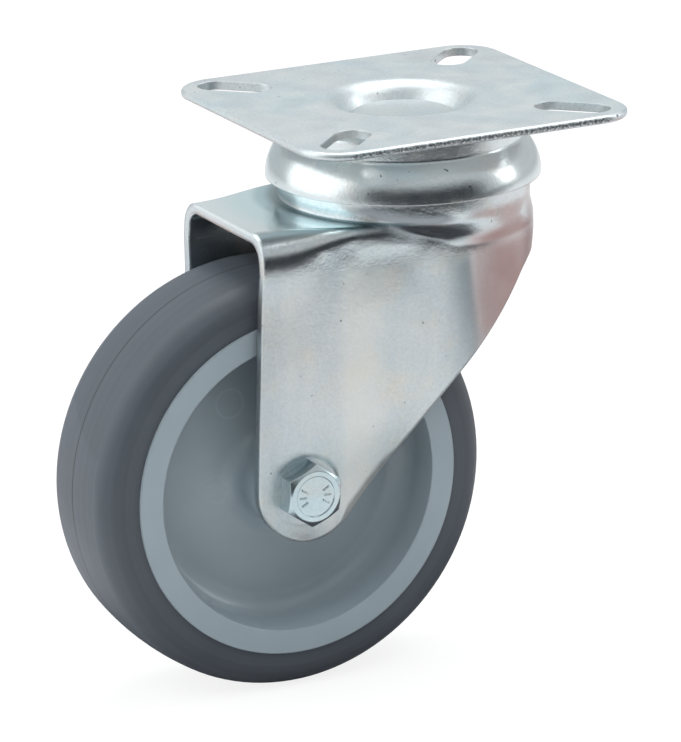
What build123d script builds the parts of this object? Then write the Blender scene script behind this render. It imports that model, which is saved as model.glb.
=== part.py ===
"""Swivel castor with a plate fitting and a 100 mm wheel.

Millimetres, +Z up. The origin is on the swivel axis at the top face of the plate, and the
wheel trails towards -X with its axle along Y.
"""
from math import atan2, cos, hypot, pi, radians, sin, sqrt, tan
import os

from build123d import *

os.makedirs("parts", exist_ok=True)

# Whole castor, with the gap between the tread and the sheet over it
total_height = 134.5
tyre_top_gap = 9.4
trail = 36.6

# Top plate: sheared from strip, so its two short edges are round
plate_length = 83.0
plate_width = 80.0
plate_sheet = 2.0
plate_corner = 10.0
plate_edge_round = 0.9
slot_from_short_edge = 12.3
slot_from_long_edge = 11.2
slot_width = 8.5
slot_length = 18.0
slot_angle = 45.0

# Dish pressed into the plate for the kingpin's head
dish_start_radius = 19.0
dish_bend = 5.0
dish_wall_angle = 60.0
dish_depth = 5.5

# Kingpin, a rivet with a shoulder that sets the play of the head
pin_head_radius = 11.9
pin_head_height = 2.0
pin_head_chamfer = 0.4
pin_radius = 7.5
pin_tail_radius = 5.5
pin_closed_radius = 8.5
pin_closed_height = 2.6
pin_closed_round = 1.8
pin_hole_clearance = 0.05

# Upper race ring: flange under the plate, neck, dome down to an open lip
ring_sheet = 2.0
ring_flange_inner_radius = 19.5
ring_neck_radius = 28.2
ring_neck_bend = 2.6
ring_crease_z = -8.6
ring_crease_bend = 1.1
ring_lip_radius = 32.2
ring_lip_z = -17.6

# Ball rows
upper_ball_radius = 3.0
upper_ball_circle = 22.0
upper_ball_count = 20
upper_groove_depth = 0.5
lower_ball_radius = 2.5
lower_ball_circle = 17.0
lower_ball_count = 18
lower_groove_depth = 0.45
ball_clearance = 0.05

# Lower race cup
cup_sheet = 2.5
cup_lip = 2.0
cup_lip_gap = 0.7
cup_round = 2.0

# Fork: one sheet, drawn and folded
fork_sheet = 2.5
turret_radius = 29.6
turret_top_gap = 5.1
turret_wall_end_z = -18.6
fork_hole_radius = 12.5
tongue_z = -22.6
tongue_front_x = -46.5
fold_radius = 7.0
fold_tight_radius = 2.4
fold_tight_from_x = -22.0
fold_tight_to_x = -13.0
fold_ease_front = 22.0
fold_inner_least = 0.8
skirt_centre_x = 4.6
skirt_edge_z = -36.5
skirt_corner_radius = 12.0
leg_end_radius = 12.7
leg_end_shift_x = 0.74
leg_end_shift_z = 0.38
leg_rear_angle = 48.6
leg_play = 0.2
seat_radius = 8.4

# Foot of the turret: height, radius and centre along X of each ring down to the skirt
foot_rings = [
    (-18.6, 29.6, 0),
    (-19.9, 29.6, 0),
    (-21.2, 29.57, 0.02),
    (-22.4, 29.42, 0.12),
    (-23.6, 29.0, 0.6),
    (-25.2, 28.1, 1.9),
    (-26.8, 27.1, 3.4),
    (-28.4, 26.45, 4.35),
    (-30.2, 26.1, 4.6),
    (-32.0, 25.3, 4.6),
    (-34.0, 23.9, 4.6),
]

# Sides of the fork: height, half width at the front edge and half width beside the skirt
side_rows = [
    (-22.6, 21.4, 26.5),
    (-36.0, 21.0, 26.0),
    (-50.0, 20.5, 25.0),
    (-66.0, 20.05, 23.7),
    (-76.0, 19.8, 21.9),
    (-84.0, 19.68, 20.1),
    (-92.0, 19.65, 19.65),
    (-125.0, 19.65, 19.65),
]

# Depths under the tongue's top, and places along the tongue, at which the fold is drawn
fold_depths = (0.0, 0.12, 0.5, 1.1, 1.8, 2.7, 3.9, 5.3)
fold_stations = (-42.0, -37.0, -32.0, -27.0, -23.0, -18.0, -12.0, -8.0, -4.0)

# Hub, moulded in one piece
hub_length = 33.8
hub_bore_clearance = 0.08
boss_radius = 11.0
boss_fillet = 4.0
web_rim_half = 3.6
web_boss_half = 5.0
rim_fillet = 5.0
rim_half_width = 16.3
rim_lip_thickness = 5.7
rim_wall_thickness = 6.4
rim_key_height = 2.2
rim_key_half = 4.0

# Tyre, moulded round the rim
tyre_thickness = 9.6
tyre_half_width = 15.7
tyre_crown_half = 10.2
tyre_crown_drop = 0.6
tyre_shoulder_half = 13.9
tyre_shoulder_drop = 2.7
tyre_side_half = 15.3
tyre_side_drop = 6.1

# Axle: M8 bolt, sleeve and self-locking nut
bolt_radius = 3.95
bolt_length = 50.0
bolt_end_chamfer = 0.8
hex_flats = 13.0
bolt_head_height = 5.3
hex_turn = 24.4
head_recess_radius = 4.8
head_recess_depth = 0.25
hex_chamfer = 0.9
fork_axle_hole_radius = 4.2
sleeve_radius = 6.0
sleeve_bore_radius = 4.2
nut_height = 8.0
nut_hex_height = 6.2
nut_collar_radius = 5.9
nut_collar_round = 0.6
nut_bore_radius = 4.0
insert_radius = 5.2
insert_height = 1.5
insert_bore_radius = 3.98
insert_lip = 0.3

# Blocks that are cut away reach past the castor, and edges closer than this are the same edge
block_reach = 60.0
block_overhang = 15.0
same_place = 0.01

# Places worked out from the sizes above
plate_under_z = -plate_sheet
slot_centre_x = plate_length / 2 - slot_from_short_edge
slot_centre_y = plate_width / 2 - slot_from_long_edge
dish_floor_z = -dish_depth
dish_under_z = dish_floor_z - plate_sheet
ring_flange_under_z = plate_under_z - ring_sheet
upper_ball_z = ring_flange_under_z + upper_groove_depth - ball_clearance - upper_ball_radius
turret_top_z = ring_flange_under_z - turret_top_gap
turret_under_z = turret_top_z - fork_sheet
lower_ball_z = turret_under_z + lower_groove_depth - ball_clearance - lower_ball_radius
cup_top_z = lower_ball_z - lower_ball_radius - ball_clearance + lower_groove_depth
cup_under_z = cup_top_z - cup_sheet
wheel_radius = (total_height + tongue_z - fork_sheet - tyre_top_gap) / 2
axle_x = -trail
axle_z = wheel_radius - total_height
rim_radius = wheel_radius - tyre_thickness
rim_key_radius = rim_radius + rim_key_height
rim_mouth_radius = rim_radius - rim_lip_thickness
rim_floor_radius = rim_radius - rim_wall_thickness
leg_inner_y = hub_length / 2 + leg_play
leg_outer_y = leg_inner_y + fork_sheet
block_front_x = tongue_front_x - block_overhang


def revolved(profile, axis):
    """A closed outline in the plane of the axis, turned a full turn about it."""
    return revolve(profile, axis, 360)


def on_xz(outline):
    """A face in the XZ plane from a closed list of edges in (radius, height)."""
    return Plane.XZ * make_face(outline)


def ball_row(count, circle, height, radius):
    """Equal balls evenly round the swivel axis, as separate solids."""
    first = Pos(circle, 0, height) * Sphere(radius)
    return Compound([Rot(0, 0, 360 * i / count) * first for i in range(count)])


def track(circle, height, radius):
    """The ring swept by a ball, with its running clearance."""
    return Pos(0, 0, height) * Torus(circle, radius + ball_clearance)


def top_plate():
    """Flat plate with a pressed dish, four diagonal slots and two rounded short edges."""
    blank = Pos(0, 0, plate_under_z / 2) * Box(plate_length, plate_width, plate_sheet)
    blank = fillet(blank.edges().filter_by(Axis.Z), plate_corner)
    wall = radians(dish_wall_angle)

    def dish(bend, top_z, floor_z):
        """Rounded rim, straight wall and flat floor of one face of the sheet."""
        centre_z = -dish_bend
        bend_r = dish_start_radius - bend * sin(wall)
        bend_z = centre_z + bend * cos(wall)
        floor_r = bend_r - (bend_z - floor_z) / tan(wall)
        half = wall / 2
        mid = (dish_start_radius - bend * sin(half), centre_z + bend * cos(half))
        edges = [
            Line((0, floor_z), (floor_r, floor_z)),
            Line((floor_r, floor_z), (bend_r, bend_z)),
            ThreePointArc((bend_r, bend_z), mid, (dish_start_radius, top_z)),
            Line((dish_start_radius, top_z), (0, top_z)),
            Line((0, top_z), (0, floor_z)),
        ]
        return revolved(on_xz(edges), Axis.Z)

    outer = dish(dish_bend - plate_sheet, plate_under_z, dish_under_z)
    inner = dish(dish_bend, 0, dish_floor_z)
    plate = blank + outer - inner
    plate -= Pos(0, 0, dish_under_z) * Cylinder(pin_radius + pin_hole_clearance, 3 * plate_sheet)
    slot = extrude(SlotOverall(slot_length, slot_width), plate_sheet, both=True)
    for sx in (-1, 1):
        for sy in (-1, 1):
            place = Pos(sx * slot_centre_x, sy * slot_centre_y, 0) * Rot(0, 0, sx * sy * slot_angle)
            plate -= place * slot
    short_edges = [
        e for e in plate.edges().filter_by(Axis.Y) if abs(abs(e.center().X) - plate_length / 2) < same_place
    ]
    return fillet(short_edges, plate_edge_round)


def kingpin():
    """Flat head in the dish, stem with a shoulder, and the end closed over the race cup."""
    head_z = dish_floor_z + pin_head_height
    closed_z = cup_under_z - pin_closed_height
    edges = Polyline(
        (0, head_z),
        (pin_head_radius - pin_head_chamfer, head_z),
        (pin_head_radius, head_z - pin_head_chamfer),
        (pin_head_radius, dish_floor_z),
        (pin_radius, dish_floor_z),
        (pin_radius, cup_top_z),
        (pin_tail_radius, cup_top_z),
        (pin_tail_radius, cup_under_z),
        (pin_closed_radius, cup_under_z),
        (pin_closed_radius, closed_z),
        (0, closed_z),
        close=True,
    )
    pin = revolved(on_xz([edges]), Axis.Z)
    return fillet(pin.edges().sort_by(Axis.Z)[0], pin_closed_round)


def upper_race_ring():
    """Pressed ring: flat flange, neck, crease and dome, all of one sheet."""
    drop = ring_crease_z - ring_lip_z
    out = ring_lip_radius - ring_neck_radius
    dome = (out * out + drop * drop) / (2 * out)
    dome_r = ring_lip_radius - dome

    def skin(inset):
        """Outline of the ring's outer face moved inwards by the inset."""
        neck = ring_neck_radius - inset
        top = plate_under_z - inset
        arc = dome - inset
        crease_z = ring_lip_z + sqrt(arc * arc - (neck - dome_r) ** 2)
        turn = atan2(crease_z - ring_lip_z, neck - dome_r) / 2
        mid = (dome_r + arc * cos(turn), ring_lip_z + arc * sin(turn))
        lip = (ring_lip_radius - inset, ring_lip_z)
        edges = [
            Line((0, top), (neck, top)),
            Line((neck, top), (neck, crease_z)),
            ThreePointArc((neck, crease_z), mid, lip),
            Line(lip, (0, ring_lip_z)),
            Line((0, ring_lip_z), (0, top)),
        ]
        body = revolved(on_xz(edges), Axis.Z)
        circles = body.edges().filter_by(GeomType.CIRCLE)
        top_edge = [e for e in circles if abs(e.center().Z - top) < same_place]
        body = fillet(top_edge, ring_neck_bend - inset)
        circles = body.edges().filter_by(GeomType.CIRCLE)
        crease = [e for e in circles if abs(e.center().Z - crease_z) < same_place]
        return fillet(crease, ring_crease_bend + inset)

    ring = skin(0) - skin(ring_sheet)
    ring -= Pos(0, 0, plate_under_z) * Cylinder(ring_flange_inner_radius, 3 * ring_sheet)
    return ring - track(upper_ball_circle, upper_ball_z, upper_ball_radius)


def lower_race_cup():
    """Pressed cup with a raised lip round the second ball row."""
    lip_inner = lower_ball_circle + lower_ball_radius + cup_lip_gap
    lip_outer = lip_inner + cup_sheet
    lip_top = cup_top_z + cup_lip
    edges = Polyline(
        (pin_tail_radius + pin_hole_clearance, cup_top_z),
        (lip_inner, cup_top_z),
        (lip_inner, lip_top),
        (lip_outer, lip_top),
        (lip_outer, cup_under_z),
        (pin_tail_radius + pin_hole_clearance, cup_under_z),
        close=True,
    )
    cup = revolved(on_xz([edges]), Axis.Z)
    under = [e for e in cup.edges().filter_by(GeomType.CIRCLE) if abs(e.center().Z - cup_under_z) < same_place]
    cup = fillet(under[-1] if under[-1].radius > under[0].radius else under[0], cup_round)
    return cup - track(lower_ball_circle, lower_ball_z, lower_ball_radius)


def eased(share):
    """Share from 0 to 1 that starts and ends level."""
    return (1 - cos(pi * min(max(share, 0), 1))) / 2


def fold_at(x, skirt_start_x):
    """Outer radius of the fold along the tongue: tight beside the turret, wider towards both ends."""
    front = eased((fold_tight_from_x - x) / fold_ease_front)
    back = eased((x - fold_tight_to_x) / (skirt_start_x - fold_tight_to_x))
    return fold_tight_radius + (fold_radius - fold_tight_radius) * max(front, back)


def side_section(z, front, rear, inset):
    """Plan outline at one height: two sides that run into a round back, drawn in where the fold turns."""
    flare = (rear - front) / (skirt_centre_x - tongue_front_x)
    lean = sqrt(1 + flare * flare)
    back = rear / lean - inset
    touch_x = skirt_centre_x - back * flare / lean
    touch_y = back / lean
    depth = tongue_z - inset - z

    def drawn_in(x):
        """How far the fold still pulls the side in at this depth under the top."""
        radius = max(fold_at(x, touch_x) - inset, fold_inner_least)
        if depth >= radius:
            return 0
        return radius - sqrt(radius ** 2 - (radius - depth) ** 2)

    stations = [block_front_x, tongue_front_x, *fold_stations, touch_x]
    side = [(x, touch_y - flare * (touch_x - x) - drawn_in(x)) for x in stations]
    near = [(x, -y) for x, y in side]
    edges = [
        Spline(*near),
        ThreePointArc(near[-1], (skirt_centre_x + back - drawn_in(touch_x), 0), side[-1]),
        Spline(*side[::-1]),
        Line(side[0], near[0]),
    ]
    return Pos(0, 0, z) * make_face(edges)


def fork_channel(inset):
    """Tongue, legs and round skirt as one block, its faces moved inwards by the inset."""
    top_z = tongue_z - inset
    top_row, next_row = side_rows[0], side_rows[1]
    rows = []
    for depth in fold_depths:
        z = top_z - depth * (fold_radius - inset) / fold_radius
        share = (z - top_row[0]) / (next_row[0] - top_row[0])
        half_widths = [a + (b - a) * share for a, b in zip(top_row[1:], next_row[1:])]
        rows.append((z, *half_widths))
    return loft([side_section(*row, inset) for row in rows + side_rows[1:]])


def fork_turret(inset):
    """Round head of the fork: flat top, shoulder beside the dome, wall, and a foot led into the skirt."""
    drop = ring_crease_z - ring_lip_z
    out = ring_lip_radius - ring_neck_radius
    dome_r = ring_lip_radius - (out * out + drop * drop) / (2 * out)
    arc = turret_radius - dome_r - inset
    top = turret_top_z - inset
    shoulder_r = dome_r + sqrt(arc * arc - (top - ring_lip_z) ** 2)
    turn = atan2(top - ring_lip_z, shoulder_r - dome_r) / 2
    mid = (dome_r + arc * cos(turn), ring_lip_z + arc * sin(turn))
    wall = turret_radius - inset
    edges = [
        Line((0, top), (shoulder_r, top)),
        ThreePointArc((shoulder_r, top), mid, (wall, ring_lip_z)),
        Line((wall, ring_lip_z), (wall, turret_wall_end_z)),
        Line((wall, turret_wall_end_z), (0, turret_wall_end_z)),
        Line((0, turret_wall_end_z), (0, top)),
    ]
    rings = [Pos(x, 0, z) * make_face(CenterArc((0, 0), r - inset, 0, 360)) for z, r, x in foot_rings]
    return revolved(on_xz(edges), Axis.Z) + loft(rings)


def fork_side():
    """Side outline of the fork as cut from the sheet, as a block right across it."""
    slope = radians(leg_rear_angle)
    centre_x = axle_x + leg_end_shift_x
    centre_z = axle_z + leg_end_shift_z
    run = (tongue_front_x - centre_x, tongue_z - centre_z)
    far = hypot(*run)
    lean = atan2(run[1], run[0]) + atan2(sqrt(far * far - leg_end_radius ** 2), leg_end_radius)
    front = (centre_x + leg_end_radius * cos(lean), centre_z + leg_end_radius * sin(lean))
    rear = (centre_x + leg_end_radius * sin(slope), centre_z - leg_end_radius * cos(slope))
    corner_x = rear[0] + (skirt_edge_z - rear[1]) / tan(slope)
    back_off = skirt_corner_radius * tan(slope / 2)
    before = (corner_x - back_off * cos(slope), skirt_edge_z - back_off * sin(slope))
    after = (corner_x + back_off, skirt_edge_z)
    rise = (turret_top_z - front[1]) / (tongue_z - front[1])
    top_front = (front[0] + (tongue_front_x - front[0]) * rise, turret_top_z)
    edges = [
        Line(top_front, front),
        ThreePointArc(front, (centre_x, centre_z - leg_end_radius), rear),
        Line(rear, before),
        TangentArc(before, after, tangent=(cos(slope), sin(slope))),
        Line(after, (block_reach, skirt_edge_z)),
        Line((block_reach, skirt_edge_z), (block_reach, turret_top_z)),
        Line((block_reach, turret_top_z), top_front),
    ]
    return extrude(on_xz(edges), block_reach, both=True)


def across(radius, start_y, end_y):
    """Round bar on the axle's line between two places across the castor."""
    middle = (start_y + end_y) / 2
    return Pos(axle_x, middle, axle_z) * Rot(90, 0, 0) * Cylinder(radius, abs(end_y - start_y))


def fork():
    """Pressed fork: the outer block less the inner one, cut to its side outline and pierced."""
    body = (fork_channel(0) + fork_turret(0)) - (fork_channel(fork_sheet) + fork_turret(fork_sheet))
    body = body & fork_side()
    body -= Pos(0, 0, turret_top_z) * Cylinder(fork_hole_radius, 4 * fork_sheet)
    for side in (-1, 1):
        body -= across(seat_radius, side * leg_outer_y, side * (leg_outer_y + fork_sheet))
        body += across(seat_radius, side * leg_inner_y, side * leg_outer_y)
    body -= across(fork_axle_hole_radius, -block_reach, block_reach)
    body -= track(upper_ball_circle, upper_ball_z, upper_ball_radius)
    return body - track(lower_ball_circle, lower_ball_z, lower_ball_radius)


def at_axle(shape):
    """Moves a shape turned about Y from the origin to the axle."""
    return Pos(axle_x, 0, axle_z) * shape


def hub():
    """Rim, dished web and boss turned about the axle, with a key round the rim."""
    half = hub_length / 2
    bore = sleeve_radius + hub_bore_clearance

    def side(s):
        """One side's outline from the bore out to the rim, in (radius, axial)."""
        return [
            (bore, s * half),
            (boss_radius, s * half),
            (boss_radius, s * web_boss_half),
            (rim_floor_radius, s * web_rim_half),
            (rim_mouth_radius, s * rim_half_width),
            (rim_radius, s * rim_half_width),
            (rim_radius, s * rim_key_half),
            (rim_key_radius, s * rim_key_half),
        ]

    outline = Polyline(*side(1), *reversed(side(-1)), close=True)
    body = revolved(make_face(outline), Axis.Y)
    circles = body.edges().filter_by(GeomType.CIRCLE)
    rim_corner = [e for e in circles if abs(e.radius - rim_floor_radius) < same_place]
    body = fillet(rim_corner, rim_fillet)
    boss_edges = [e for e in body.edges().filter_by(GeomType.CIRCLE) if abs(e.radius - boss_radius) < same_place]
    boss_corner = [e for e in boss_edges if abs(abs(e.center().Y) - web_boss_half) < same_place]
    return at_axle(fillet(boss_corner, boss_fillet))


def tyre():
    """Tread and sides as arcs, with the rim's key let into its inside."""
    crown = wheel_radius - tyre_crown_drop
    shoulder = wheel_radius - tyre_shoulder_drop
    side = wheel_radius - tyre_side_drop
    edges = [
        ThreePointArc((crown, -tyre_crown_half), (wheel_radius, 0), (crown, tyre_crown_half)),
    ]
    for s in (1, -1):
        edges += [
            ThreePointArc((crown, s * tyre_crown_half), (shoulder, s * tyre_shoulder_half), (side, s * tyre_side_half)),
            Line((side, s * tyre_side_half), (rim_radius, s * tyre_half_width)),
            Line((rim_radius, s * tyre_half_width), (rim_radius, s * rim_key_half)),
            Line((rim_radius, s * rim_key_half), (rim_key_radius, s * rim_key_half)),
        ]
    edges += [Line((rim_key_radius, rim_key_half), (rim_key_radius, -rim_key_half))]
    return at_axle(revolved(make_face(edges), Axis.Y))


def hexagon(height, chamfered_ends):
    """Hexagonal prism along -Y from the origin, its chosen ends chamfered to a circle."""
    corner = hex_flats / 2 / cos(radians(30))
    prism = extrude(Plane.XZ * Rot(0, 0, hex_turn) * RegularPolygon(corner, 6), height)
    drop = (corner - hex_flats / 2 + hex_chamfer / 2) * tan(radians(30))
    face = hex_flats / 2 - hex_chamfer / 2
    outline = [(0, 0)]
    outline += [(face, 0), (corner, -drop)] if "near" in chamfered_ends else [(corner, 0)]
    outline += [(corner, drop - height), (face, -height)] if "far" in chamfered_ends else [(corner, -height)]
    outline += [(0, -height)]
    envelope = revolved(make_face(Polyline(*outline, close=True)), Axis.Y)
    return prism & envelope


def axle_bolt():
    """Hexagon head outside the near leg and a plain shank through to the nut."""
    head = hexagon(bolt_head_height, ["far"])
    head -= Pos(0, -bolt_head_height, 0) * Rot(90, 0, 0) * Cylinder(head_recess_radius, 2 * head_recess_depth)
    shank = Pos(0, bolt_length / 2, 0) * Rot(90, 0, 0) * Cylinder(bolt_radius, bolt_length)
    shank = chamfer(shank.edges().sort_by(Axis.Y)[-1], bolt_end_chamfer)
    return at_axle(Pos(0, -leg_outer_y, 0) * (head + shank))


def axle_sleeve():
    """Tube between the legs, on which the hub runs."""
    length = 2 * leg_inner_y
    tube = Cylinder(sleeve_radius, length) - Cylinder(sleeve_bore_radius, length)
    return at_axle(Rot(90, 0, 0) * tube)


def lock_nut():
    """Hexagon with a round collar that holds the nylon ring."""
    body = Rot(0, 0, 180) * hexagon(nut_hex_height, ["near", "far"])
    collar = Pos(0, nut_height / 2, 0) * Rot(90, 0, 0) * Cylinder(nut_collar_radius, nut_height)
    collar = fillet(collar.edges().sort_by(Axis.Y)[-1], nut_collar_round)
    body += collar
    body -= Rot(90, 0, 0) * Cylinder(nut_bore_radius, 3 * nut_height)
    pocket_start = nut_height - insert_lip - insert_height
    pocket = Pos(0, pocket_start + insert_height / 2, 0) * Rot(90, 0, 0)
    body -= pocket * Cylinder(insert_radius, insert_height)
    return at_axle(Pos(0, leg_outer_y, 0) * body)


def lock_nut_insert():
    """Nylon ring in the nut's collar."""
    start = leg_outer_y + nut_height - insert_lip - insert_height
    ring = Cylinder(insert_radius, insert_height) - Cylinder(insert_bore_radius, insert_height)
    return at_axle(Pos(0, start + insert_height / 2, 0) * Rot(90, 0, 0) * ring)


pieces = {
    "top_plate": top_plate(),
    "kingpin": kingpin(),
    "upper_race_ring": upper_race_ring(),
    "upper_balls": ball_row(upper_ball_count, upper_ball_circle, upper_ball_z, upper_ball_radius),
    "fork": fork(),
    "lower_balls": ball_row(lower_ball_count, lower_ball_circle, lower_ball_z, lower_ball_radius),
    "lower_race_cup": lower_race_cup(),
    "axle_bolt": axle_bolt(),
    "axle_sleeve": axle_sleeve(),
    "lock_nut": lock_nut(),
    "lock_nut_insert": lock_nut_insert(),
    "hub": hub(),
    "tyre": tyre(),
}

for name, piece in pieces.items():
    export_step(piece, f"parts/{name}.step")
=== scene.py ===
from math import cos, radians, sin

import bpy
import numpy as np
from mathutils import Matrix, Vector


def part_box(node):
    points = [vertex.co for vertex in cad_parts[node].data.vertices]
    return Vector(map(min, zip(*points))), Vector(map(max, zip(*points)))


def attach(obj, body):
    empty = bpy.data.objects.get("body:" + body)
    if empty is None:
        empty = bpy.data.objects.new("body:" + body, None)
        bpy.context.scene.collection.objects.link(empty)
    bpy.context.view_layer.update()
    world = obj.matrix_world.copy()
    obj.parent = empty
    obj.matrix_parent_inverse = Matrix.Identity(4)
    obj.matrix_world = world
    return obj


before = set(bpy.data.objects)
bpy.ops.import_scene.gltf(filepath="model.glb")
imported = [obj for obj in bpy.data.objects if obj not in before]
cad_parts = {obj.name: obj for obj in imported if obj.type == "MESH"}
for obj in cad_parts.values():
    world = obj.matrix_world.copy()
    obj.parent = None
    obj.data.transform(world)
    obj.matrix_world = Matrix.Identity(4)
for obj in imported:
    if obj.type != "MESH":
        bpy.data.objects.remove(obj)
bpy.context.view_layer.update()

# Top plate: steel strip 2 mm thick, cropped to length, with its slots and dish pressed in one stroke.
# The whole castor's steel is bright zinc plated with a clear blue passivate, which leaves a pale satin
# grey with a cold tint, fine grain from the rolled strip, and a few dark specks.
plate_grey = "#D3D9DB"
plate_cold = "#CBD8DC"
plate_warm = "#D6D7D3"
plate_roughness = 0.44
plate_grain = 0.12
plate_edge_round = 0.0005
plate_half_width = 0.040
torn_start = 0.00025
torn_full = 0.00005
sheared_dark = "#5E6468"
speck_grey = "#50565A"


def linear(hex_colour):
    """sRGB hex to linear: c / 12.92 in the dark part, ((c + 0.055) / 1.055) to the power 2.4 above it."""
    c = np.array([int(hex_colour[i:i + 2], 16) for i in (1, 3, 5)]) / 255
    low = c <= 0.04045
    rgb = np.where(low, c / 12.92, ((c + 0.055) / 1.055) ** 2.4)
    return (*rgb.tolist(), 1.0)


def feed(material, node, links):
    """Feeds a node's sockets. A source is an output, or a node, which gives its first output in use."""
    for key, source in links.items():
        if isinstance(source, bpy.types.Node):
            source = next(output for output in source.outputs if output.enabled)
        material.node_tree.links.new(source, node.inputs[key])


def add(material, kind, links=None, sockets=None, **settings):
    """Adds one node: its own settings, the values of its sockets, and what feeds it."""
    node = material.node_tree.nodes.new(kind)
    for key, value in settings.items():
        setattr(node, key, value)
    for key, value in (sockets or {}).items():
        node.inputs[key].default_value = value
    feed(material, node, links or {})
    return node


def finish(name, constants):
    """A material with its shader, its output and the place that its patterns read. The constants are set
    on the shader's own sockets."""
    material = bpy.data.materials.new(name)
    material.use_nodes = True
    material.node_tree.nodes.clear()
    shader = add(material, "ShaderNodeBsdfPrincipled", sockets=constants)
    add(material, "ShaderNodeOutputMaterial", {"Surface": shader})
    place = add(material, "ShaderNodeTexCoord").outputs["Object"]
    return material, shader, place


def wear(node_name, material):
    """Puts a material on a CAD node."""
    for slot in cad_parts[node_name].material_slots:
        slot.material = material


def zinc_plate(name, grey, cold, warm, roughness, grain, edge_round):
    """Bright zinc on steel. Tint: two soft noises, about 25 mm and 9 mm across, mix a cold and a warm grey
    into the plain one. Grain: noise about 0.7 mm across, drawn coarser than the real strip so that it
    shows. Specks: the deepest parts of a 1.5 mm noise. The bevel node rounds the pressed edges."""
    material, shader, place = finish(name, {"Metallic": 1.0})
    broad = add(material, "ShaderNodeTexNoise", {"Vector": place},
                {"Scale": 40.0, "Detail": 2.0, "Roughness": 0.5})
    cloud = add(material, "ShaderNodeTexNoise", {"Vector": place},
                {"Scale": 110.0, "Detail": 3.0, "Roughness": 0.6})
    fine = add(material, "ShaderNodeTexNoise", {"Vector": place},
               {"Scale": 1400.0, "Detail": 3.0, "Roughness": 0.65})
    dots = add(material, "ShaderNodeTexNoise", {"Vector": place},
               {"Scale": 640.0, "Detail": 1.0, "Roughness": 0.5})
    cold_part = add(material, "ShaderNodeMapRange", {"Value": broad}, {"From Min": 0.42, "From Max": 0.68})
    tint = add(material, "ShaderNodeMix", {"Factor": cold_part}, {"A": linear(grey), "B": linear(cold)},
               data_type="RGBA")
    warm_part = add(material, "ShaderNodeMapRange", {"Value": cloud},
                    {"From Min": 0.5, "From Max": 0.75, "To Max": 0.7})
    tone = add(material, "ShaderNodeMix", {"Factor": warm_part, "A": tint}, {"B": linear(warm)},
               data_type="RGBA")
    grain_part = add(material, "ShaderNodeMapRange", {"Value": fine},
                     {"From Min": 0.3, "From Max": 0.7, "To Min": 1.0 - grain, "To Max": 1.0 + grain / 2})
    grained = add(material, "ShaderNodeMix", {"A": tone, "B": grain_part}, {"Factor": 1.0},
                  data_type="RGBA", blend_type="MULTIPLY")
    speck_part = add(material, "ShaderNodeMapRange", {"Value": dots},
                     {"From Min": 0.225, "From Max": 0.19, "To Max": 0.75})
    specked = add(material, "ShaderNodeMix", {"Factor": speck_part, "A": grained},
                  {"B": linear(speck_grey)}, data_type="RGBA")
    rough = add(material, "ShaderNodeMapRange", {"Value": cloud},
                {"From Min": 0.3, "From Max": 0.7, "To Min": roughness - 0.05, "To Max": roughness + 0.06})
    soft = add(material, "ShaderNodeBevel", sockets={"Radius": edge_round}, samples=6)
    ripple = add(material, "ShaderNodeBump", {"Height": cloud, "Normal": soft},
                 {"Strength": 0.16, "Distance": 0.0005})
    bump = add(material, "ShaderNodeBump", {"Height": fine, "Normal": ripple},
               {"Strength": 0.25, "Distance": 0.00012})
    feed(material, shader, {"Base Color": specked, "Roughness": rough, "Normal": bump})
    return material, shader, place, specked, soft


plate_zinc, shader, place, plate_tone, _ = zinc_plate(
    "zinc plated strip steel, rolled", plate_grey, plate_cold, plate_warm,
    plate_roughness, plate_grain, plate_edge_round)
# The long edges are cropped: a dark, torn grain shows where the strip broke.
_, y, _ = add(plate_zinc, "ShaderNodeSeparateXYZ", {"Vector": place}).outputs
across = add(plate_zinc, "ShaderNodeMath", {0: y}, operation="ABSOLUTE")
cropped = add(plate_zinc, "ShaderNodeMapRange", {"Value": across},
              {"From Min": plate_half_width - torn_start, "From Max": plate_half_width - torn_full})
torn_grain = add(plate_zinc, "ShaderNodeTexNoise", {"Vector": place}, {"Scale": 1500.0, "Detail": 2.0})
torn_part = add(plate_zinc, "ShaderNodeMapRange", {"Value": torn_grain},
                {"From Min": 0.40, "From Max": 0.56, "To Max": 0.85})
torn = add(plate_zinc, "ShaderNodeMath", {0: cropped, 1: torn_part}, operation="MULTIPLY")
plate_colour = add(plate_zinc, "ShaderNodeMix", {"Factor": torn, "A": plate_tone},
                   {"B": linear(sheared_dark)}, data_type="RGBA")
feed(plate_zinc, shader, {"Base Color": plate_colour})
wear("top_plate", plate_zinc)

# Kingpin: a cold headed rivet whose flat head lies in the plate's dish. It is plated with the rest,
# and its head keeps the smooth face of the closing tool.
pin_grey = "#CAD0D2"
pin_cold = "#BFCACE"
pin_warm = "#CBCBC6"
pin_roughness = 0.42
pin_grain = 0.10
pin_edge_round = 0.0004
pin_zinc = zinc_plate("zinc plated rivet steel, cold headed", pin_grey, pin_cold, pin_warm,
                      pin_roughness, pin_grain, pin_edge_round)[0]
wear("kingpin", pin_zinc)

# Upper race ring: a drawn ring welded under the plate. Drawing in a polished die leaves it the
# brightest steel of the castor, so it mirrors the room with soft, slightly wavy lines.
ring_grey = "#D4DADB"
ring_cold = "#C8D4D8"
ring_warm = "#D8D6D1"
ring_roughness = 0.23
ring_grain = 0.05
ring_edge_round = 0.0004
ring_zinc = zinc_plate("zinc plated drawing steel, bright drawn", ring_grey, ring_cold, ring_warm,
                       ring_roughness, ring_grain, ring_edge_round)[0]
wear("upper_race_ring", ring_zinc)

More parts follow.
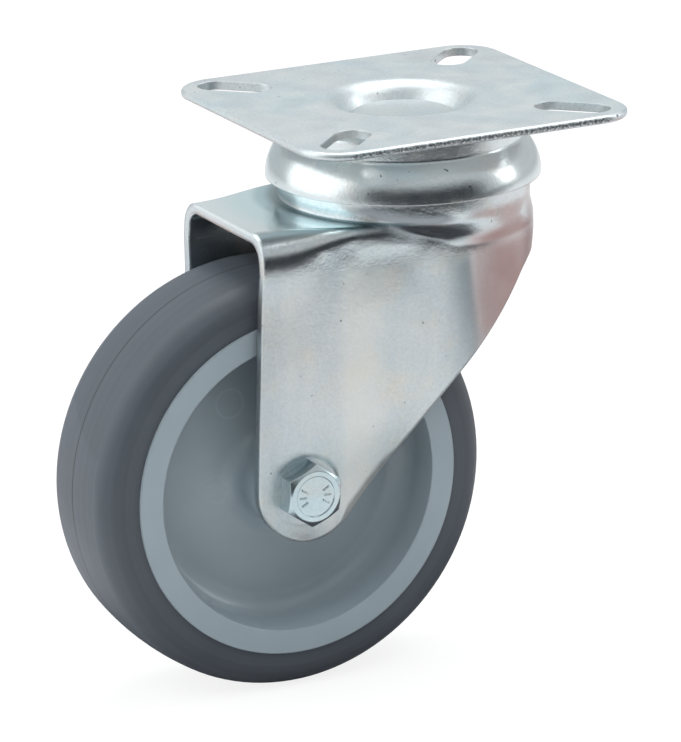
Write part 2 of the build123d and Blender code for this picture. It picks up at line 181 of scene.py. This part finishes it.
# Ball rows: hardened chrome steel balls, ground and lapped to a mirror, and smeared with grease. One
# row lies between the race ring and the fork, the other under the fork's top.
ball_grey = "#C8C9CB"
ball_steel, shader, place = finish("bearing steel, ground and lapped",
                                   {"Base Color": linear(ball_grey), "Metallic": 1.0})
smear = add(ball_steel, "ShaderNodeTexNoise", {"Vector": place}, {"Scale": 500.0, "Detail": 2.0})
grease = add(ball_steel, "ShaderNodeMapRange", {"Value": smear},
             {"From Min": 0.35, "From Max": 0.65, "To Min": 0.08, "To Max": 0.22})
feed(ball_steel, shader, {"Roughness": grease})
wear("upper_balls", ball_steel)
wear("lower_balls", ball_steel)

# Lower race cup: drawn from the same strip as the ring and plated with it. The kingpin's closed end
# holds it under the lower ball row.
wear("lower_race_cup", ring_zinc)

# Fork: one blank, drawn to a round turret and folded down to two legs and a skirt. The drawn turret is
# as bright as the ring, above bright_above_z, and the legs keep the satin of the rolled strip.
fork_grey = "#CDD2D4"
fork_cold = "#C0CCD0"
fork_warm = "#D5D1C8"
leg_roughness = 0.34
turret_roughness = 0.20
fork_grain = 0.10
fork_edge_round = 0.0012
foot_edge_round = 0.0030
foot_radius = 0.0296
satin_below_z = -0.040
bright_above_z = -0.024
fork_zinc, shader, place, fork_tone, soft = zinc_plate(
    "zinc plated drawing steel, pressed", fork_grey, fork_cold, fork_warm,
    leg_roughness, fork_grain, fork_edge_round)
x, _, z = add(fork_zinc, "ShaderNodeSeparateXYZ", {"Vector": place}).outputs
drawn = add(fork_zinc, "ShaderNodeMapRange", {"Value": z},
            {"From Min": satin_below_z, "From Max": bright_above_z,
             "To Min": leg_roughness, "To Max": turret_roughness}, interpolation_type="SMOOTHSTEP")
feed(fork_zinc, shader, {"Roughness": drawn})
# Where the turret's foot meets the tongue, the sheet turns with a wider inner radius than at its edges.
turn_reach = 0.0045
turn_full = 0.0030
front_start_x = -0.010
front_full_x = -0.014
level_place = add(fork_zinc, "ShaderNodeVectorMath", {0: place}, {1: (1.0, 1.0, 0.0)}, operation="MULTIPLY")
from_swivel = add(fork_zinc, "ShaderNodeVectorMath", {0: level_place}, operation="LENGTH")
past_foot = add(fork_zinc, "ShaderNodeMath", {0: from_swivel}, {1: foot_radius}, operation="SUBTRACT")
off_foot = add(fork_zinc, "ShaderNodeMath", {0: past_foot}, operation="ABSOLUTE")
foot_part = add(fork_zinc, "ShaderNodeMapRange", {"Value": off_foot},
                {"From Min": turn_reach, "From Max": turn_full})
front_part = add(fork_zinc, "ShaderNodeMapRange", {"Value": x},
                 {"From Min": front_start_x, "From Max": front_full_x})
inner_turn = add(fork_zinc, "ShaderNodeMath", {0: foot_part, 1: front_part}, operation="MULTIPLY")
turn_radius = add(fork_zinc, "ShaderNodeMapRange", {"Value": inner_turn},
                  {"To Min": fork_edge_round, "To Max": foot_edge_round})
feed(fork_zinc, soft, {"Radius": turn_radius})
# The passivate is teal on the flat tongue. Painted shade makes it dark at the turret's foot, where the
# concave turn would mirror the plate's dark underside, and paler with the distance from the swivel axis,
# between the radii tongue_root and tongue_end. The tongue is picked out by its height.
above_tongue_z = -0.0220
tongue_high_z = -0.0224
tongue_low_z = -0.0228
below_tongue_z = -0.0238
tongue_root = 0.030
tongue_end = 0.048
tongue_tint_and_shade_stops = ((0.0, "#6F858A"), (0.2, "#B4D2D7"), (0.36, "#DDF3F6"), (1.0, "#F4FCFD"))
under_top = add(fork_zinc, "ShaderNodeMapRange", {"Value": z},
                {"From Min": above_tongue_z, "From Max": tongue_high_z})
over_foot = add(fork_zinc, "ShaderNodeMapRange", {"Value": z},
                {"From Min": below_tongue_z, "From Max": tongue_low_z})
on_tongue = under_top
for part in (over_foot, front_part):
    on_tongue = add(fork_zinc, "ShaderNodeMath", {0: on_tongue, 1: part}, operation="MULTIPLY")
reach = add(fork_zinc, "ShaderNodeMapRange", {"Value": from_swivel},
            {"From Min": tongue_root, "From Max": tongue_end})
tongue_tint_and_shade = add(fork_zinc, "ShaderNodeValToRGB", {"Fac": reach})
tongue_shade_ramp = tongue_tint_and_shade.color_ramp
tongue_shade_ramp.interpolation = "EASE"
for stop, _ in tongue_tint_and_shade_stops[1:-1]:
    tongue_shade_ramp.elements.new(stop)
for mark, (_, tone) in zip(tongue_shade_ramp.elements, tongue_tint_and_shade_stops):
    mark.color = linear(tone)
fork_colour = add(fork_zinc, "ShaderNodeMix", {"Factor": on_tongue, "A": fork_tone, "B": tongue_tint_and_shade},
                  data_type="RGBA")
# Long, soft bands of painted light and shade run down the legs, where the slightly twisted sheet would mirror
# the
# room lighter or darker: light and dim ones, from a noise that is stretched five times in height, and one
# main painted light band, between band_left_x and band_right_x.
painted_light_band = "#E2E1DA"
painted_dim_band = "#A9B3B7"
fold_z = -0.026
leg_z = -0.036
band_left_x = -0.0300
band_full_x = -0.0255
band_fade_x = -0.0225
band_right_x = -0.0130
band_place = add(fork_zinc, "ShaderNodeVectorMath", {0: place}, {1: (1.0, 0.3, 0.2)}, operation="MULTIPLY")
bands = add(fork_zinc, "ShaderNodeTexNoise", {"Vector": band_place},
            {"Scale": 95.0, "Detail": 3.0, "Roughness": 0.5})
leg_part = add(fork_zinc, "ShaderNodeMapRange", {"Value": z}, {"From Min": fold_z, "From Max": leg_z},
               interpolation_type="SMOOTHSTEP")
band_left = add(fork_zinc, "ShaderNodeMapRange", {"Value": x},
                {"From Min": band_left_x, "From Max": band_full_x}, interpolation_type="SMOOTHSTEP")
band_right = add(fork_zinc, "ShaderNodeMapRange", {"Value": x},
                 {"From Min": band_right_x, "From Max": band_fade_x, "To Max": 0.5},
                 interpolation_type="SMOOTHSTEP")
main_painted_light = add(fork_zinc, "ShaderNodeMath", {0: band_left, 1: band_right}, operation="MULTIPLY")
light_part = add(fork_zinc, "ShaderNodeMapRange", {"Value": bands},
                 {"From Min": 0.47, "From Max": 0.66, "To Max": 0.35})
light_part = add(fork_zinc, "ShaderNodeMath", {0: light_part, 1: main_painted_light}, operation="MAXIMUM")
dim_part = add(fork_zinc, "ShaderNodeMapRange", {"Value": bands},
               {"From Min": 0.42, "From Max": 0.3, "To Max": 0.3})
for band_part, band_tone in ((light_part, painted_light_band), (dim_part, painted_dim_band)):
    on_leg = add(fork_zinc, "ShaderNodeMath", {0: band_part, 1: leg_part}, operation="MULTIPLY")
    fork_colour = add(fork_zinc, "ShaderNodeMix", {"Factor": on_leg, "A": fork_colour},
                      {"B": linear(band_tone)}, data_type="RGBA")
# A dim, bluish band of painted shade, a dark reflection, follows the line where the flat leg runs into the
# round
# skirt: x = 2 mm at the fold and 6 mm at the skirt's lower end.
seam_top_x = 0.0018
seam_low_x = 0.0056
skirt_low_z = -0.052
streak_low_z = -0.060
streak_high_z = -0.030
streak_width = 0.0080
streak_past_seam = 0.0020
seam_shade_grey = "#6A767B"
seam_x = add(fork_zinc, "ShaderNodeMapRange", {"Value": z},
             {"From Min": fold_z, "From Max": skirt_low_z, "To Min": seam_top_x, "To Max": seam_low_x})
off_seam = add(fork_zinc, "ShaderNodeMath", {0: x, 1: seam_x}, operation="SUBTRACT")
seam_before = add(fork_zinc, "ShaderNodeMapRange", {"Value": off_seam},
                  {"From Min": -streak_width, "From Max": 0.0}, interpolation_type="SMOOTHSTEP")
seam_after = add(fork_zinc, "ShaderNodeMapRange", {"Value": off_seam},
                 {"From Min": streak_past_seam, "From Max": 0.0}, interpolation_type="SMOOTHSTEP")
seam_fade = add(fork_zinc, "ShaderNodeMapRange", {"Value": z},
                {"From Min": streak_low_z, "From Max": streak_high_z, "To Min": 0.3, "To Max": 0.85})
seam_shade = seam_before
for part in (seam_after, seam_fade, leg_part):
    seam_shade = add(fork_zinc, "ShaderNodeMath", {0: seam_shade, 1: part}, operation="MULTIPLY")
fork_colour = add(fork_zinc, "ShaderNodeMix", {"Factor": seam_shade, "A": fork_colour},
                  {"B": linear(seam_shade_grey)}, data_type="RGBA")
# Painted shade: two long ovals, in x and z, that fall slightly towards the rear, darken the concave turn
# under the turret and the middle of the turret's wall, where they would mirror the dark ground near the
# castor.
oval_fall = 0.12
for middle, half_length, half_height, most, oval_shade_grey in (
    ((-0.0100, 0.0, -0.0256), 0.0150, 0.0030, 0.55, "#646B71"),
    ((-0.0125, 0.0, -0.0208), 0.0120, 0.0022, 0.80, "#737A7F"),
):
    from_middle = add(fork_zinc, "ShaderNodeVectorMath", {0: place}, {1: middle}, operation="SUBTRACT")
    along = add(fork_zinc, "ShaderNodeVectorMath", {0: from_middle}, {1: (1 / half_length, 0.0, 0.0)},
                operation="DOT_PRODUCT")
    upright = add(fork_zinc, "ShaderNodeVectorMath", {0: from_middle},
                  {1: (oval_fall / half_height, 0.0, 1 / half_height)}, operation="DOT_PRODUCT")
    in_oval = add(fork_zinc, "ShaderNodeCombineXYZ", {"X": along, "Z": upright})
    off_middle = add(fork_zinc, "ShaderNodeVectorMath", {0: in_oval}, operation="LENGTH")
    oval_shade_part = add(fork_zinc, "ShaderNodeMapRange", {"Value": off_middle},
                    {"From Min": 1.05, "From Max": 0.7, "To Max": most}, interpolation_type="SMOOTHSTEP")
    fork_colour = add(fork_zinc, "ShaderNodeMix", {"Factor": oval_shade_part, "A": fork_colour},
                      {"B": linear(oval_shade_grey)}, data_type="RGBA")
# Painted reflection: past the seam on the skirt, pink beside the seam and brown and darker at the back, where
# the round sheet would mirror a warm, shaded room, and a noise about 13 mm across thins the tint in places.
pink_reflection = "#B2A2A1"
brown_reflection = "#88797A"
pink_before_seam = 0.0012
pink_past_seam = 0.0028
skirt_top_z = -0.0250
skirt_full_z = -0.0285
back_start_x = 0.0190
back_full_x = 0.0240
film = add(fork_zinc, "ShaderNodeTexNoise", {"Vector": place},
           {"Scale": 75.0, "Detail": 2.0, "Roughness": 0.5})
patchy_part = add(fork_zinc, "ShaderNodeMapRange", {"Value": film},
                 {"From Min": 0.3, "From Max": 0.6, "To Min": 0.55})
past_seam = add(fork_zinc, "ShaderNodeMapRange", {"Value": off_seam},
                {"From Min": -pink_before_seam, "From Max": pink_past_seam},
                interpolation_type="SMOOTHSTEP")
low_part = add(fork_zinc, "ShaderNodeMapRange", {"Value": z},
               {"From Min": skirt_top_z, "From Max": skirt_full_z}, interpolation_type="SMOOTHSTEP")
skirt_part = add(fork_zinc, "ShaderNodeMath", {0: past_seam, 1: low_part}, operation="MULTIPLY")
back_part = add(fork_zinc, "ShaderNodeMapRange", {"Value": x},
                {"From Min": back_start_x, "From Max": back_full_x}, interpolation_type="SMOOTHSTEP")
drawn_part = add(fork_zinc, "ShaderNodeMath", {0: skirt_part, 1: back_part}, operation="MAXIMUM")
reflection_part = add(fork_zinc, "ShaderNodeMath", {0: drawn_part, 1: patchy_part}, operation="MULTIPLY")
reflection_tone = add(fork_zinc, "ShaderNodeMix", {"Factor": back_part},
                {"A": linear(pink_reflection), "B": linear(brown_reflection)}, data_type="RGBA")
fork_colour = add(fork_zinc, "ShaderNodeMix", {"Factor": reflection_part, "A": fork_colour, "B": reflection_tone},
                  data_type="RGBA")
feed(fork_zinc, shader, {"Base Color": fork_colour})
wear("fork", fork_zinc)

# Axle sleeve: drawn steel tube, cut to length and oiled, not plated. The bolt clamps it between the
# legs, and the wheel turns on it.
sleeve_grey = "#B9BBBD"
sleeve_cold = "#AEB3B7"
sleeve_warm = "#BDB8B0"
sleeve_roughness = 0.28
sleeve_grain = 0.08
sleeve_edge_round = 0.0003
sleeve_steel = zinc_plate("drawn tube steel, oiled", sleeve_grey, sleeve_cold, sleeve_warm,
                          sleeve_roughness, sleeve_grain, sleeve_edge_round)[0]
wear("axle_sleeve", sleeve_steel)

# Hub: moulded in blue-grey polypropylene. The mould's fine satin face and a slow, soft gloss show on
# its ring; the dished web has faint flow streaks.
hub_grey = "#9CA9B0"
hub_shade = "#8F9CA3"
hub_edge_round = 0.0005
ejector_grey = "#B4C0C6"
ejector_centre = (-0.0482, -0.0043, -0.0658)
ejector_radius = 0.0034
ejector_rim_reach = 0.00035
ejector_rim_full = 0.0001
polypropylene, shader, place = finish("polypropylene, moulded satin", {"IOR": 1.49})
flow = add(polypropylene, "ShaderNodeTexNoise", {"Vector": place}, {"Scale": 70.0, "Detail": 3.0})
skin = add(polypropylene, "ShaderNodeTexNoise", {"Vector": place}, {"Scale": 2600.0, "Detail": 2.0})
streaks = add(polypropylene, "ShaderNodeMix", {"Factor": flow},
              {"A": linear(hub_grey), "B": linear(hub_shade)}, data_type="RGBA")
# An ejector pin left a faint round mark on the near side of the web.
off_mark = add(polypropylene, "ShaderNodeVectorMath", {0: place}, {1: ejector_centre}, operation="DISTANCE")
past_rim = add(polypropylene, "ShaderNodeMath", {0: off_mark}, {1: ejector_radius}, operation="SUBTRACT")
off_rim = add(polypropylene, "ShaderNodeMath", {0: past_rim}, operation="ABSOLUTE")
mark_part = add(polypropylene, "ShaderNodeMapRange", {"Value": off_rim},
                {"From Min": ejector_rim_reach, "From Max": ejector_rim_full, "To Max": 0.35})
marked = add(polypropylene, "ShaderNodeMix", {"Factor": mark_part, "A": streaks},
             {"B": linear(ejector_grey)}, data_type="RGBA")
sheen = add(polypropylene, "ShaderNodeMapRange", {"Value": flow},
            {"From Min": 0.3, "From Max": 0.7, "To Min": 0.27, "To Max": 0.36})
soft = add(polypropylene, "ShaderNodeBevel", sockets={"Radius": hub_edge_round}, samples=6)
bump = add(polypropylene, "ShaderNodeBump", {"Height": skin, "Normal": soft},
           {"Strength": 0.15, "Distance": 0.00005})
feed(polypropylene, shader, {"Base Color": marked, "Roughness": sheen, "Normal": bump})
wear("hub", polypropylene)

# Tyre: grey thermoplastic rubber moulded round the hub, with a matt, slightly dusty face and a thin
# line round the tread where the mould halves met.
tyre_grey = "#40464D"
tyre_dust = "#4E545C"
parting_grey = "#1D1F23"
axle = (-0.0366, 0.0, -0.0845)
tread_radius = 0.050
tread_depth = 0.001
parting_y = 0.0004
hair_reach = 0.0003
hair_full = 0.00012
rubber, shader, place = finish("thermoplastic rubber, moulded", {"IOR": 1.5})
bloom = add(rubber, "ShaderNodeTexNoise", {"Vector": place}, {"Scale": 60.0, "Detail": 4.0, "Roughness": 0.6})
pore = add(rubber, "ShaderNodeTexNoise", {"Vector": place}, {"Scale": 1800.0, "Detail": 3.0})
dusty = add(rubber, "ShaderNodeMix", {"Factor": bloom}, {"A": linear(tyre_grey), "B": linear(tyre_dust)},
            data_type="RGBA")
# Rings: noise read at the radius and the place across the tyre alone, so it runs round the wheel.
from_axle = add(rubber, "ShaderNodeVectorMath", {0: place}, {1: axle}, operation="SUBTRACT")
in_disc = add(rubber, "ShaderNodeVectorMath", {0: from_axle}, {1: (1.0, 0.0, 1.0)}, operation="MULTIPLY")
radius = add(rubber, "ShaderNodeVectorMath", {0: in_disc}, operation="LENGTH")
_, y, _ = add(rubber, "ShaderNodeSeparateXYZ", {"Vector": place}).outputs
round_place = add(rubber, "ShaderNodeCombineXYZ", {"X": radius, "Y": y})
rings = add(rubber, "ShaderNodeTexNoise", {"Vector": round_place},
            {"Scale": 420.0, "Detail": 3.0, "Roughness": 0.6})
ring_part = add(rubber, "ShaderNodeMapRange", {"Value": rings},
                {"From Min": 0.3, "From Max": 0.7, "To Min": 0.9, "To Max": 1.1})
ringed = add(rubber, "ShaderNodeMix", {"A": dusty, "B": ring_part}, {"Factor": 1.0},
             data_type="RGBA", blend_type="MULTIPLY")
# Parting line: a dark hair, about 0.4 mm wide, near the middle of the tread.
past_line = add(rubber, "ShaderNodeMath", {0: y}, {1: parting_y}, operation="SUBTRACT")
off_line = add(rubber, "ShaderNodeMath", {0: past_line}, operation="ABSOLUTE")
hair = add(rubber, "ShaderNodeMapRange", {"Value": off_line},
           {"From Min": hair_reach, "From Max": hair_full, "To Max": 0.95})
on_tread = add(rubber, "ShaderNodeMath", {0: radius}, {1: tread_radius - tread_depth},
               operation="GREATER_THAN")
line_part = add(rubber, "ShaderNodeMath", {0: hair, 1: on_tread}, operation="MULTIPLY")
lined = add(rubber, "ShaderNodeMix", {"Factor": line_part, "A": ringed}, {"B": linear(parting_grey)},
            data_type="RGBA")
matt = add(rubber, "ShaderNodeMapRange", {"Value": bloom},
           {"From Min": 0.3, "From Max": 0.7, "To Min": 0.46, "To Max": 0.58})
bump = add(rubber, "ShaderNodeBump", {"Height": pore}, {"Strength": 0.2, "Distance": 0.00008})
feed(rubber, shader, {"Base Color": lined, "Roughness": matt, "Normal": bump})
wear("tyre", rubber)

# Axle bolt: M8 hexagon bolt, cold headed and bright zinc plated, with smooth facets that mirror the
# room. It passes through the near leg, the sleeve and the far leg.
bolt_grey = "#CCD3D5"
bolt_cold = "#BACBD0"
bolt_warm = "#CECECA"
bolt_roughness = 0.22
bolt_grain = 0.08
bolt_edge_round = 0.0003
bolt_zinc = zinc_plate("zinc plated bolt steel, cold headed", bolt_grey, bolt_cold, bolt_warm,
                       bolt_roughness, bolt_grain, bolt_edge_round)[0]
wear("axle_bolt", bolt_zinc)

# Head ticks: short bars that the heading die raises in the bolt head's shallow recess, of the bolt's own
# steel. They are plain ticks here, in two groups of three.
tick_angles = (150.0, 180.0, 210.0, 330.0, 0.0, 30.0)
tick_circle = 0.0031
tick_length = 0.0017
tick_width = 0.0005
tick_height = 0.00022
tick_top_share = 0.7
tick_sunk_share = 0.2
head_recess_depth = 0.00025
head_floor_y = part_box("axle_bolt")[0][1] + head_recess_depth


def raised_ticks(angles):
    """Vertices and faces of one flat-topped bar per angle. A bar's foot is a rectangle, sunk into the head
    by a share of the bar's height, and its top is the same rectangle at a share of the width. Both are
    shifted out to the circle and turned about the axle by the angle."""
    length = np.array([-1, 1, 1, -1, -1, 1, 1, -1]) * tick_length / 2
    width = np.array([-1, -1, 1, 1] * 2) * np.repeat([1, tick_top_share], 4) * tick_width / 2
    level = np.repeat([tick_sunk_share, -1], 4) * tick_height
    turn = np.radians(angles)[:, None]
    out = tick_circle + length
    x = axle[0] + out * np.cos(turn) - width * np.sin(turn)
    z = axle[2] + out * np.sin(turn) + width * np.cos(turn)
    y = np.broadcast_to(head_floor_y + level, x.shape)
    faces = np.array([[4, 5, 6, 7], [0, 1, 5, 4], [1, 2, 6, 5], [2, 3, 7, 6], [3, 0, 4, 7], [3, 2, 1, 0]])
    every = faces[None] + 8 * np.arange(len(angles))[:, None, None]
    return np.stack([x, y, z], -1).reshape(-1, 3), every.reshape(-1, 4)


tick_points, tick_faces = raised_ticks(tick_angles)
tick_mesh = bpy.data.meshes.new("bolt_head_ticks")
tick_mesh.from_pydata(tick_points.tolist(), [], tick_faces.tolist())
tick_mesh.materials.append(bolt_zinc)
ticks = bpy.data.objects.new("bolt_head_ticks", tick_mesh)
bpy.context.scene.collection.objects.link(ticks)
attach(ticks, "swivel_fork")

# Lock nut: hexagon with a rolled collar, plated like the bolt, on the far leg. The collar grips a
# turned ring of natural nylon, milky and slightly clear.
nylon_white = "#E3E4DF"
wear("lock_nut", bolt_zinc)
nylon, shader, place = finish("nylon, turned ring", {
    "Base Color": linear(nylon_white),
    "Subsurface Weight": 0.15,
    "Subsurface Radius": (0.001, 0.001, 0.0009),
})
cut = add(nylon, "ShaderNodeTexNoise", {"Vector": place}, {"Scale": 900.0, "Detail": 2.0})
haze = add(nylon, "ShaderNodeMapRange", {"Value": cut},
           {"From Min": 0.3, "From Max": 0.7, "To Min": 0.35, "To Max": 0.5})
feed(nylon, shader, {"Roughness": haze})
wear("lock_nut_insert", nylon)

# Floor: a plain sheet, painted matt white, under the wheel. Its mirror image in the metal is painted dark
# from mirrored_front on, as shade where the unlit front of the studio begins.
floor_height = -0.1345
floor_front = -0.9
floor_reach = 2.0
mirrored_front = -0.345
floor_mesh = bpy.data.meshes.new("floor")
corners = [(-floor_reach, floor_front), (floor_reach, floor_front),
           (floor_reach, floor_reach), (-floor_reach, floor_reach)]
floor_mesh.from_pydata([(x, y, floor_height) for x, y in corners], [], [[0, 1, 2, 3]])
floor = bpy.data.objects.new("floor", floor_mesh)
bpy.context.scene.collection.objects.link(floor)

# Paint: whiter to the camera than it is, with a light shadow. Metal mirrors it with painted shade: the right
# and rear part, on the side away from the lamp and up to 0.35 m away, is painted in a warm, soft shade, and
# the ground within 0.09 m of the swivel axis is painted dark, as a shadow under the castor.
shade_across = (0.75, 0.662, 0.0)
shade_start = -0.045
shade_full = -0.010
shade_reach = 0.33
shade_end = 0.40
lit_ring = 0.12
shade_ring = 0.20
under_full = 0.078
under_end = 0.105
edge_softness = 0.01
lit_floor = "#E4E5E6"
shaded_floor = "#BBA9A7"
castor_shadow_grey = "#5C5C60"
unlit_front = "#2E3135"
plain_floor = "#EDEEEF"
camera_floor = "#7D7D7E"
camera_glow = 0.84
mirrored_glow = 0.15
white = (1.0, 1.0, 1.0, 1.0)
floor_paint = bpy.data.materials.new("matt white paint")
floor_paint.use_nodes = True
floor_paint.node_tree.nodes.clear()
place = add(floor_paint, "ShaderNodeTexCoord").outputs["Object"]
side = add(floor_paint, "ShaderNodeVectorMath", {0: place}, {1: shade_across}, operation="DOT_PRODUCT")
beyond = add(floor_paint, "ShaderNodeMapRange", {"Value": side},
             {"From Min": shade_start, "From Max": shade_full}, interpolation_type="SMOOTHSTEP")
level_place = add(floor_paint, "ShaderNodeVectorMath", {0: place}, {1: (1.0, 1.0, 0.0)},
                  operation="MULTIPLY")
away = add(floor_paint, "ShaderNodeVectorMath", {0: level_place}, operation="LENGTH")
within = add(floor_paint, "ShaderNodeMapRange", {"Value": away},
             {"From Min": shade_end, "From Max": shade_reach}, interpolation_type="SMOOTHSTEP")
off_castor = add(floor_paint, "ShaderNodeMapRange", {"Value": away},
                 {"From Min": lit_ring, "From Max": shade_ring}, interpolation_type="SMOOTHSTEP")
side_shade_part = beyond
for part in (within, off_castor):
    side_shade_part = add(floor_paint, "ShaderNodeMath", {0: side_shade_part, 1: part}, operation="MULTIPLY")
castor_shadow_part = add(floor_paint, "ShaderNodeMapRange", {"Value": away},
                {"From Min": under_end, "From Max": under_full}, interpolation_type="SMOOTHSTEP")
_, y, _ = add(floor_paint, "ShaderNodeSeparateXYZ", {"Vector": place}).outputs
in_front = add(floor_paint, "ShaderNodeMapRange", {"Value": y},
               {"From Min": mirrored_front + edge_softness, "From Max": mirrored_front - edge_softness})
mirrored_tone = add(floor_paint, "ShaderNodeMix", {"Factor": side_shade_part},
                    {"A": linear(lit_floor), "B": linear(shaded_floor)}, data_type="RGBA")
for part, tone in ((castor_shadow_part, castor_shadow_grey), (in_front, unlit_front)):
    mirrored_tone = add(floor_paint, "ShaderNodeMix", {"Factor": part, "A": mirrored_tone},
                        {"B": linear(tone)}, data_type="RGBA")
matt_white = add(floor_paint, "ShaderNodeBsdfDiffuse", sockets={"Color": linear(plain_floor)})
mirrored_paint = add(floor_paint, "ShaderNodeBsdfDiffuse", {"Color": mirrored_tone})
mirrored_light = add(floor_paint, "ShaderNodeEmission", {"Color": mirrored_tone},
                     {"Strength": mirrored_glow})
mirrored_white = add(floor_paint, "ShaderNodeAddShader", {0: mirrored_paint, 1: mirrored_light})
camera_paint = add(floor_paint, "ShaderNodeBsdfDiffuse", sockets={"Color": linear(camera_floor)})
camera_light = add(floor_paint, "ShaderNodeEmission", sockets={"Color": white, "Strength": camera_glow})
camera_white = add(floor_paint, "ShaderNodeAddShader", {0: camera_paint, 1: camera_light})
ray = add(floor_paint, "ShaderNodeLightPath")
unseen = add(floor_paint, "ShaderNodeMixShader",
             {0: ray.outputs["Is Glossy Ray"], 1: matt_white, 2: mirrored_white})
seen = add(floor_paint, "ShaderNodeMixShader", {0: ray.outputs["Is Camera Ray"], 1: unseen, 2: camera_white})
add(floor_paint, "ShaderNodeOutputMaterial", {"Surface": seen})
floor_mesh.materials.append(floor_paint)

# Room: white to the camera. It is bright behind and above, and dark low down in front, and the metal
# mirrors it brighter than it lights the castor.
toward_front = (-0.15, -0.989, 0.0)
bright_room = "#D6DADC"
dark_room = "#3B3E42"
room_light = 0.62
room_mirrored = 0.98
world = bpy.data.worlds.new("studio")
bpy.context.scene.world = world
world.use_nodes = True
world.node_tree.nodes.clear()
way = add(world, "ShaderNodeTexCoord").outputs["Generated"]
toward = add(world, "ShaderNodeVectorMath", {0: way}, {1: toward_front}, operation="DOT_PRODUCT")
dark_side = add(world, "ShaderNodeMapRange", {"Value": toward}, {"From Min": 0.5, "From Max": 0.74},
                interpolation_type="SMOOTHSTEP")
_, _, up = add(world, "ShaderNodeSeparateXYZ", {"Vector": way}).outputs
low = add(world, "ShaderNodeMapRange", {"Value": up}, {"From Min": 0.55, "From Max": 0.2},
          interpolation_type="SMOOTHSTEP")
dark = add(world, "ShaderNodeMath", {0: dark_side, 1: low}, operation="MULTIPLY")
room = add(world, "ShaderNodeMix", {"Factor": dark}, {"A": linear(bright_room), "B": linear(dark_room)},
           data_type="RGBA")
ray = add(world, "ShaderNodeLightPath")
strength = add(world, "ShaderNodeMapRange", {"Value": ray.outputs["Is Glossy Ray"]},
               {"To Min": room_light, "To Max": room_mirrored})
sky = add(world, "ShaderNodeBackground", {"Color": room, "Strength": strength})
plain = add(world, "ShaderNodeBackground", sockets={"Color": white, "Strength": 1.0})
both = add(world, "ShaderNodeMixShader", {0: ray.outputs["Is Camera Ray"], 1: sky, 2: plain})
add(world, "ShaderNodeOutputWorld", {"Surface": both})

# Lamps: a big soft box on the left, one above, one high in front, and a narrow strip on the right. Crossed
# filters on two lamps take their mirror image out of the metal, so that they light it without a glare.
object_middle = Vector((-0.02, 0.0, -0.065))
for name, spot, width, tall, power in (
    ("left soft box", (-0.94, 0.32, 0.45), 1.3, 1.4, 6.5),
    ("left soft box, crossed filter", (-0.94, 0.32, 0.45), 1.3, 1.4, 16.0),
    ("top soft box", (0.15, 0.25, 1.0), 0.9, 0.6, 6.0),
    ("high front box", (0.38, -0.24, 0.72), 0.5, 0.4, 1.2),
    ("front box, crossed filter", (-0.3, -0.7, 0.75), 0.9, 0.5, 2.7),
    ("right strip", (0.95, -0.35, 0.35), 0.25, 0.7, 1.9),
):
    lamp = bpy.data.lights.new(name, "AREA")
    lamp.shape = "RECTANGLE"
    lamp.size = width
    lamp.size_y = tall
    lamp.energy = power
    holder = bpy.data.objects.new(name, lamp)
    holder.visible_glossy = "filter" not in name
    holder.location = spot
    holder.rotation_euler = (Vector(spot) - object_middle).to_track_quat("Z", "Y").to_euler()
    bpy.context.scene.collection.objects.link(holder)

# Camera: a long lens, about 1.2 m away, in front of the wheel's left and a little above it, rolled by a
# degree. Its place and its length were fitted to outlines picked in the photograph.
camera_turn = radians(-26.54227)
camera_rise = radians(17.079)
camera_roll = radians(-1.11593)
camera_distance = 1.2267225
camera_target = Vector((-0.0176417, -0.0007034, -0.0636178))
photo_height_px = 742
focal_px = 5241.97
backward = Vector((
    sin(camera_turn) * cos(camera_rise), -cos(camera_turn) * cos(camera_rise), sin(camera_rise)))
level = Vector((cos(camera_turn), sin(camera_turn), 0.0))
rise = backward.cross(level)
right = level * cos(camera_roll) + rise * sin(camera_roll)
upward = rise * cos(camera_roll) - level * sin(camera_roll)
lens = bpy.data.cameras.new("camera")
lens.sensor_fit = "VERTICAL"
lens.sensor_height = 36.0
lens.lens = focal_px / photo_height_px * lens.sensor_height
lens.clip_start = 0.05
lens.clip_end = 20.0
camera = bpy.data.objects.new("camera", lens)
pose = Matrix((right, upward, backward)).transposed().to_4x4()
pose.translation = camera_target + backward * camera_distance
camera.matrix_world = pose
bpy.context.scene.collection.objects.link(camera)
bpy.context.scene.camera = camera

bpy.context.scene.view_settings.view_transform = "Standard"
